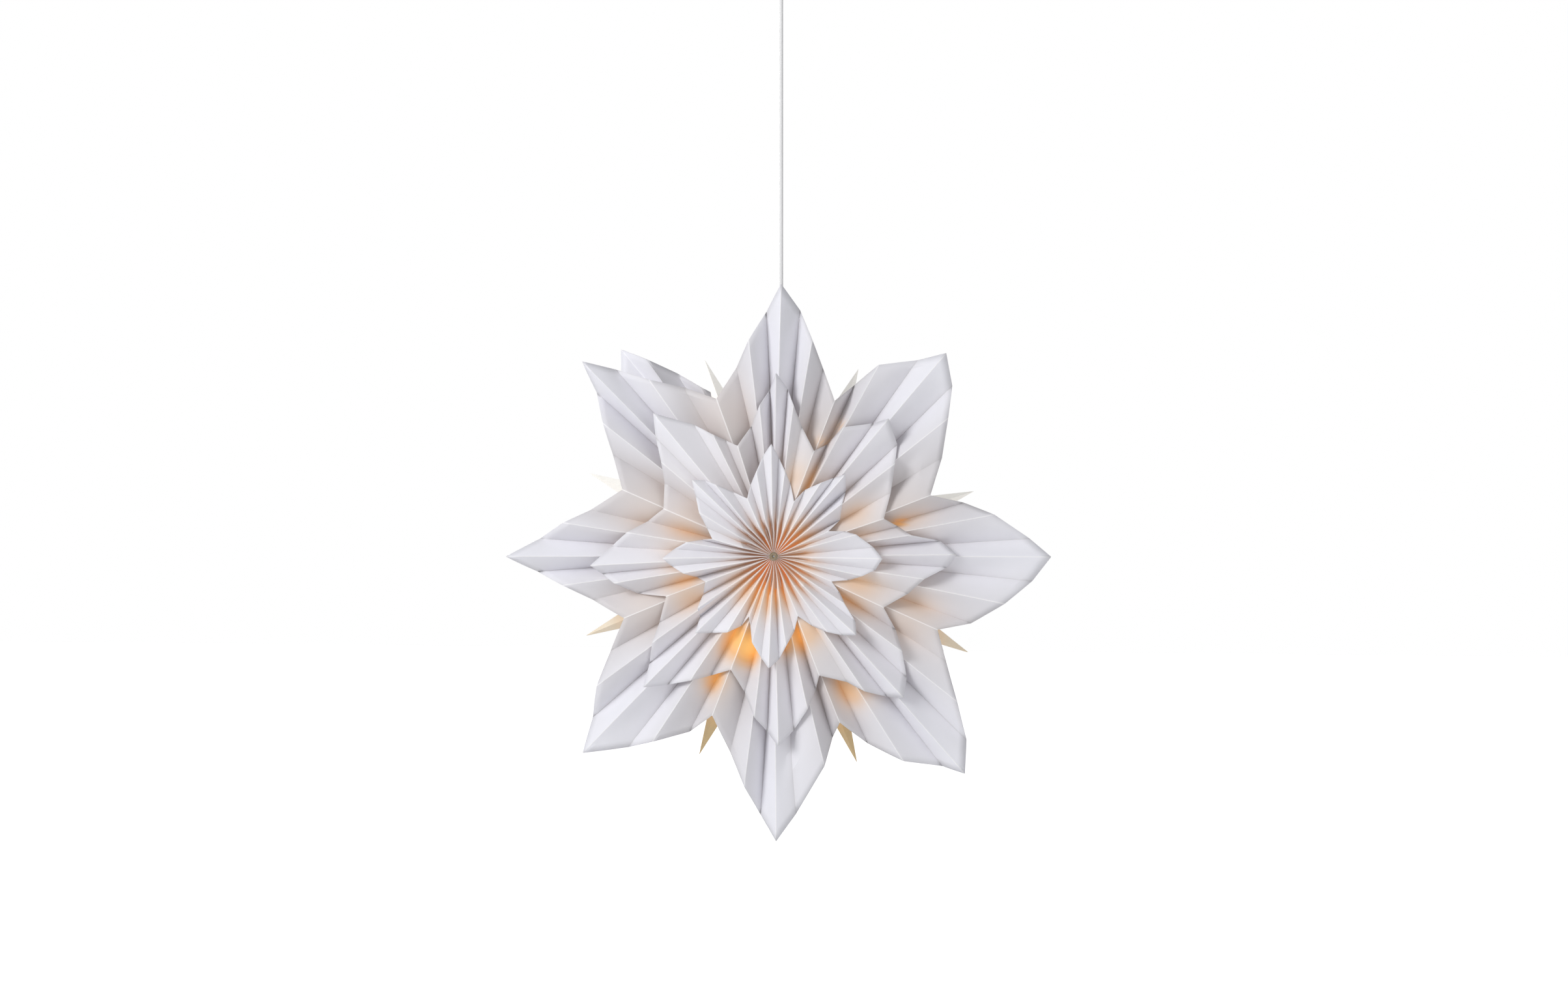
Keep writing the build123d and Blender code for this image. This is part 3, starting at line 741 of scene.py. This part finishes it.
# finishes of the parts kept from the frame, by slot
plainLooks = {
    "white_plastic": {"color": (0.80, 0.80, 0.79, 1), "roughness": 0.38, "metallic": 0.0},
    "card": {"color": (0.83, 0.80, 0.74, 1), "roughness": 0.7, "metallic": 0.0},
    "thread": {"color": (0.42, 0.36, 0.28, 1), "roughness": 0.8, "metallic": 0.0},
    "zinc_steel": {"color": (0.38, 0.39, 0.41, 1), "roughness": 0.35, "metallic": 1.0},
    "wire_steel": {"color": (0.40, 0.40, 0.41, 1), "roughness": 0.3, "metallic": 1.0},
    "brass": {"color": (0.80, 0.60, 0.28, 1), "roughness": 0.3, "metallic": 1.0},
    "cap_metal": {"color": (0.55, 0.54, 0.52, 1), "roughness": 0.28, "metallic": 1.0},
}

plainWear = {
    "cloudScale": 60.0,
    "grainScale": 1500.0,
    "darkest": 0.86,             # share of its colour that a cloud leaves
    "roughnessSpread": 0.16,
    "bump": 0.15,
    "bumpDepth": 0.0002,
}


def makePlain(name, look):
    # one colour with faint clouds, and the roughness varies with them
    material, tree, shader = newMaterial(name, Metallic=look["metallic"], IOR=1.45)
    grain = placeGroup(
        tree, paperGrain,
        **{"Cloud Scale": plainWear["cloudScale"], "Grain Scale": plainWear["grainScale"]}
    )
    tone, spread = grain.outputs["Tone"], plainWear["roughnessSpread"]
    darker = tuple(part * plainWear["darkest"] for part in look["color"][:3]) + (1,)
    color = blendColors(tree, tone, darker, look["color"])
    rough = calc(tree, "MULTIPLY_ADD", tone, spread, look["roughness"] - spread / 2)
    tree.links.new(color, shader.inputs["Base Color"])
    tree.links.new(rough, shader.inputs["Roughness"])
    addBump(tree, shader, grain.outputs["Height"], plainWear["bump"], plainWear["bumpDepth"])
    return material


# the ivory paper of the spikes, with painted lamp glow and shade
spikeLook = {
    "high": (0.90, 0.89, 0.85, 1),     # colour of the upper spikes
    "low": (0.55, 0.41, 0.22, 1),      # of the lower ones, with painted lamp glow and shade: darker and warmer
    "amber": (0.85, 0.42, 0.10, 1),    # painted amber lamp glow at their base
    "stain": (0.5, 0.42, 0.3, 1),
    "stainShare": 0.12,
    # strength of the painted glow that the spike paper gives off
    "light": 0.31,
    "roughness": 0.6,
    "lowFrom": (-3.0, 0.25),           # share of the low colour: height times one, plus the other
    "baseFrom": (-18.0, 4.9),          # and of the base's: distance times one, plus the other
    "cloudScale": 25.0,
    "grainScale": 1100.0,
    "bump": 0.2,
    "bumpDepth": 0.0003,
}


def makeSpikePaper():
    # Painted lamp glow: place is measured from the lamp; the height picks between the upper colour
    # and the darker, warmer painted lower colour, and the distance picks the painted amber at the
    # base.
    look = spikeLook
    material, tree, shader = newMaterial("ivoryPaper", Roughness=look["roughness"], IOR=1.45)
    place = put(tree, "ShaderNodeVectorMath", operation="SUBTRACT")
    tree.links.new(objectPlace(tree), place.inputs[0])
    place.inputs[1].default_value = (0, 0, starZ)
    height = put(tree, "ShaderNodeSeparateXYZ")
    tree.links.new(place.outputs["Vector"], height.inputs["Vector"])
    distance = put(tree, "ShaderNodeVectorMath", operation="LENGTH")
    tree.links.new(place.outputs["Vector"], distance.inputs[0])
    low = calc(tree, "MULTIPLY_ADD", height.outputs["Z"], *look["lowFrom"], clamp=True)
    base = calc(tree, "MULTIPLY_ADD", distance.outputs["Value"], *look["baseFrom"], clamp=True)
    grain = placeGroup(
        tree, paperGrain,
        **{"Cloud Scale": look["cloudScale"], "Grain Scale": look["grainScale"]}
    )
    stain = calc(tree, "MULTIPLY", grain.outputs["Tone"], look["stainShare"])
    color = blendColors(tree, low, look["high"], look["low"])
    color = blendColors(tree, calc(tree, "MULTIPLY", base, low), color, look["amber"])
    color = blendColors(tree, stain, color, look["stain"])
    tree.links.new(color, shader.inputs["Base Color"])
    # the spike paper gives off a painted glow of its own colour
    tree.links.new(color, shader.inputs["Emission Color"])
    shader.inputs["Emission Strength"].default_value = look["light"]
    addBump(tree, shader, grain.outputs["Height"], look["bump"], look["bumpDepth"])
    return material


bulbLook = {
    "glass": ((1.0, 0.97, 0.92, 1), (1, 1, 1, 1)),               # each varies between two colours
    "glassRoughness": 0.05,
    "glassClouds": 40.0,
    "filament": ((1.0, 0.50, 0.16, 1), (1.0, 0.68, 0.3, 1)),
    "filamentLight": 3.0,
    "filamentClouds": 300.0,
}


def makeGlass():
    material, tree, shader = newMaterial(
        "bulbGlass", Roughness=bulbLook["glassRoughness"], IOR=1.5, Transmission_Weight=1.0
    )
    smoke = noiseAt(tree, objectPlace(tree), bulbLook["glassClouds"])
    color = blendColors(tree, smoke, *bulbLook["glass"])
    tree.links.new(color, shader.inputs["Base Color"])
    return material


def makeFilament():
    material, tree, shader = newMaterial("filament", Emission_Strength=bulbLook["filamentLight"])
    shimmer = noiseAt(tree, objectPlace(tree), bulbLook["filamentClouds"])
    color = blendColors(tree, shimmer, *bulbLook["filament"])
    tree.links.new(color, shader.inputs["Emission Color"])
    return material


def dressNodes():
    # every kept part takes the material made for its slot
    made = {name: makePlain(name, look) for name, look in plainLooks.items()}
    made["ivory_paper"] = makeSpikePaper()
    made["bulb_glass"] = makeGlass()
    made["filament"] = makeFilament()
    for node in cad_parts.values():
        slot = node.data.materials[0].name.split(".")[0] if node.data.materials else "none"
        if slot in made:
            node.data.materials[0] = made[slot]
    print("kept parts dressed:", len(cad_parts))


dressNodes()


# The cord hangs straight from the grip under the hook into the lamp holder. Millimetres.
cordRoute = {
    "top": -59.6,
    "bottom": -864.0,
    "width": 5.0,
    "roundness": 5,
    "colors": ((0.70, 0.70, 0.71, 1), (0.75, 0.75, 0.76, 1)),
    "roughness": 0.42,
    "cloudScale": 12.0,
    "grainScale": 500.0,
    "bump": 0.05,
    "bumpDepth": 0.0001,
}


def makeCordMaterial():
    material, tree, shader = newMaterial("whiteCord", Roughness=cordRoute["roughness"], IOR=1.46)
    grain = placeGroup(
        tree, paperGrain,
        **{"Cloud Scale": cordRoute["cloudScale"], "Grain Scale": cordRoute["grainScale"]}
    )
    color = blendColors(tree, grain.outputs["Tone"], *cordRoute["colors"])
    tree.links.new(color, shader.inputs["Base Color"])
    addBump(tree, shader, grain.outputs["Height"], cordRoute["bump"], cordRoute["bumpDepth"])
    return material


def makeCord():
    curve = bpy.data.curves.new("cord", "CURVE")
    curve.dimensions = "3D"
    curve.bevel_depth = cordRoute["width"] / 2 * millimetre
    curve.bevel_resolution = cordRoute["roundness"]
    curve.use_fill_caps = True
    spline = curve.splines.new("NURBS")
    top, bottom = cordRoute["top"], cordRoute["bottom"]
    heights = (top, (top + bottom) / 2, bottom)
    spline.points.add(len(heights) - 1)
    for point, height in zip(spline.points, heights):
        point.co = (0, 0, height * millimetre, 1)
    spline.order_u = 3
    spline.use_endpoint_u = True
    piece = bpy.data.objects.new("pendantCord", curve)
    bpy.context.scene.collection.objects.link(piece)
    curve.materials.append(makeCordMaterial())
    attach(piece, "pendant")
    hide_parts("cord")


makeCord()
print("cord ready")


room = {
    "floor": -2.4,               # metres under the ceiling
    "floorSize": 30.0,
    "floorColor": (0.85, 0.85, 0.85, 1),
    "floorLight": 0.85,          # seen by the camera, so that the floor is as white as the world
    "world": 0.36,               # strength of the world's light on the object
    "lamps": (
        # name, place, size and power
        ("keyLamp", (-2.7, -2.8, 0.7), 1.8, 104.0),
        ("fillLamp", (2.6, -2.6, -0.6), 2.4, 24.0),
        ("backLamp", (-1.0, 3.2, 0.4), 2.6, 50.0),
    ),
}


def seenDirectly(tree):
    # one for rays that see the background itself, in a mirror or through glass, zero for the rest
    rays = put(tree, "ShaderNodeLightPath")
    seen = calc(tree, "MAXIMUM", rays.outputs["Is Camera Ray"], rays.outputs["Is Glossy Ray"])
    return calc(tree, "MAXIMUM", seen, rays.outputs["Is Transmission Ray"])


def makeFloor():
    mesh = bpy.data.meshes.new("floor")
    half = room["floorSize"] / 2
    corners = [(-half, -half), (half, -half), (half, half), (-half, half)]
    mesh.from_pydata([(x, y, room["floor"]) for x, y in corners], [], [(0, 1, 2, 3)])
    floor = bpy.data.objects.new("floor", mesh)
    bpy.context.scene.collection.objects.link(floor)
    material, tree, shader = newMaterial(
        "paleFloor", Base_Color=room["floorColor"], Roughness=0.8, Emission_Color=(1, 1, 1, 1)
    )
    light = calc(tree, "MULTIPLY", seenDirectly(tree), room["floorLight"])
    tree.links.new(light, shader.inputs["Emission Strength"])
    mesh.materials.append(material)


def makeWorld():
    world = bpy.data.worlds.new("studio")
    world.use_nodes = True
    bpy.context.scene.world = world
    tree = world.node_tree
    background = tree.nodes["Background"]
    background.inputs["Color"].default_value = (1, 1, 1, 1)
    strength = calc(tree, "MULTIPLY_ADD", seenDirectly(tree), 1 - room["world"], room["world"])
    tree.links.new(strength, background.inputs["Strength"])


def makeLamps():
    target = Vector((0, 0, starZ))
    for name, place, size, power in room["lamps"]:
        data = bpy.data.lights.new(name, "AREA")
        data.size = size
        data.energy = power
        lamp = bpy.data.objects.new(name, data)
        bpy.context.scene.collection.objects.link(lamp)
        lamp.location = place
        lamp.rotation_euler = (target - Vector(place)).to_track_quat("-Z", "Y").to_euler()


makeFloor()
makeWorld()
makeLamps()
bpy.context.scene.view_settings.view_transform = "Standard"
print("room ready")
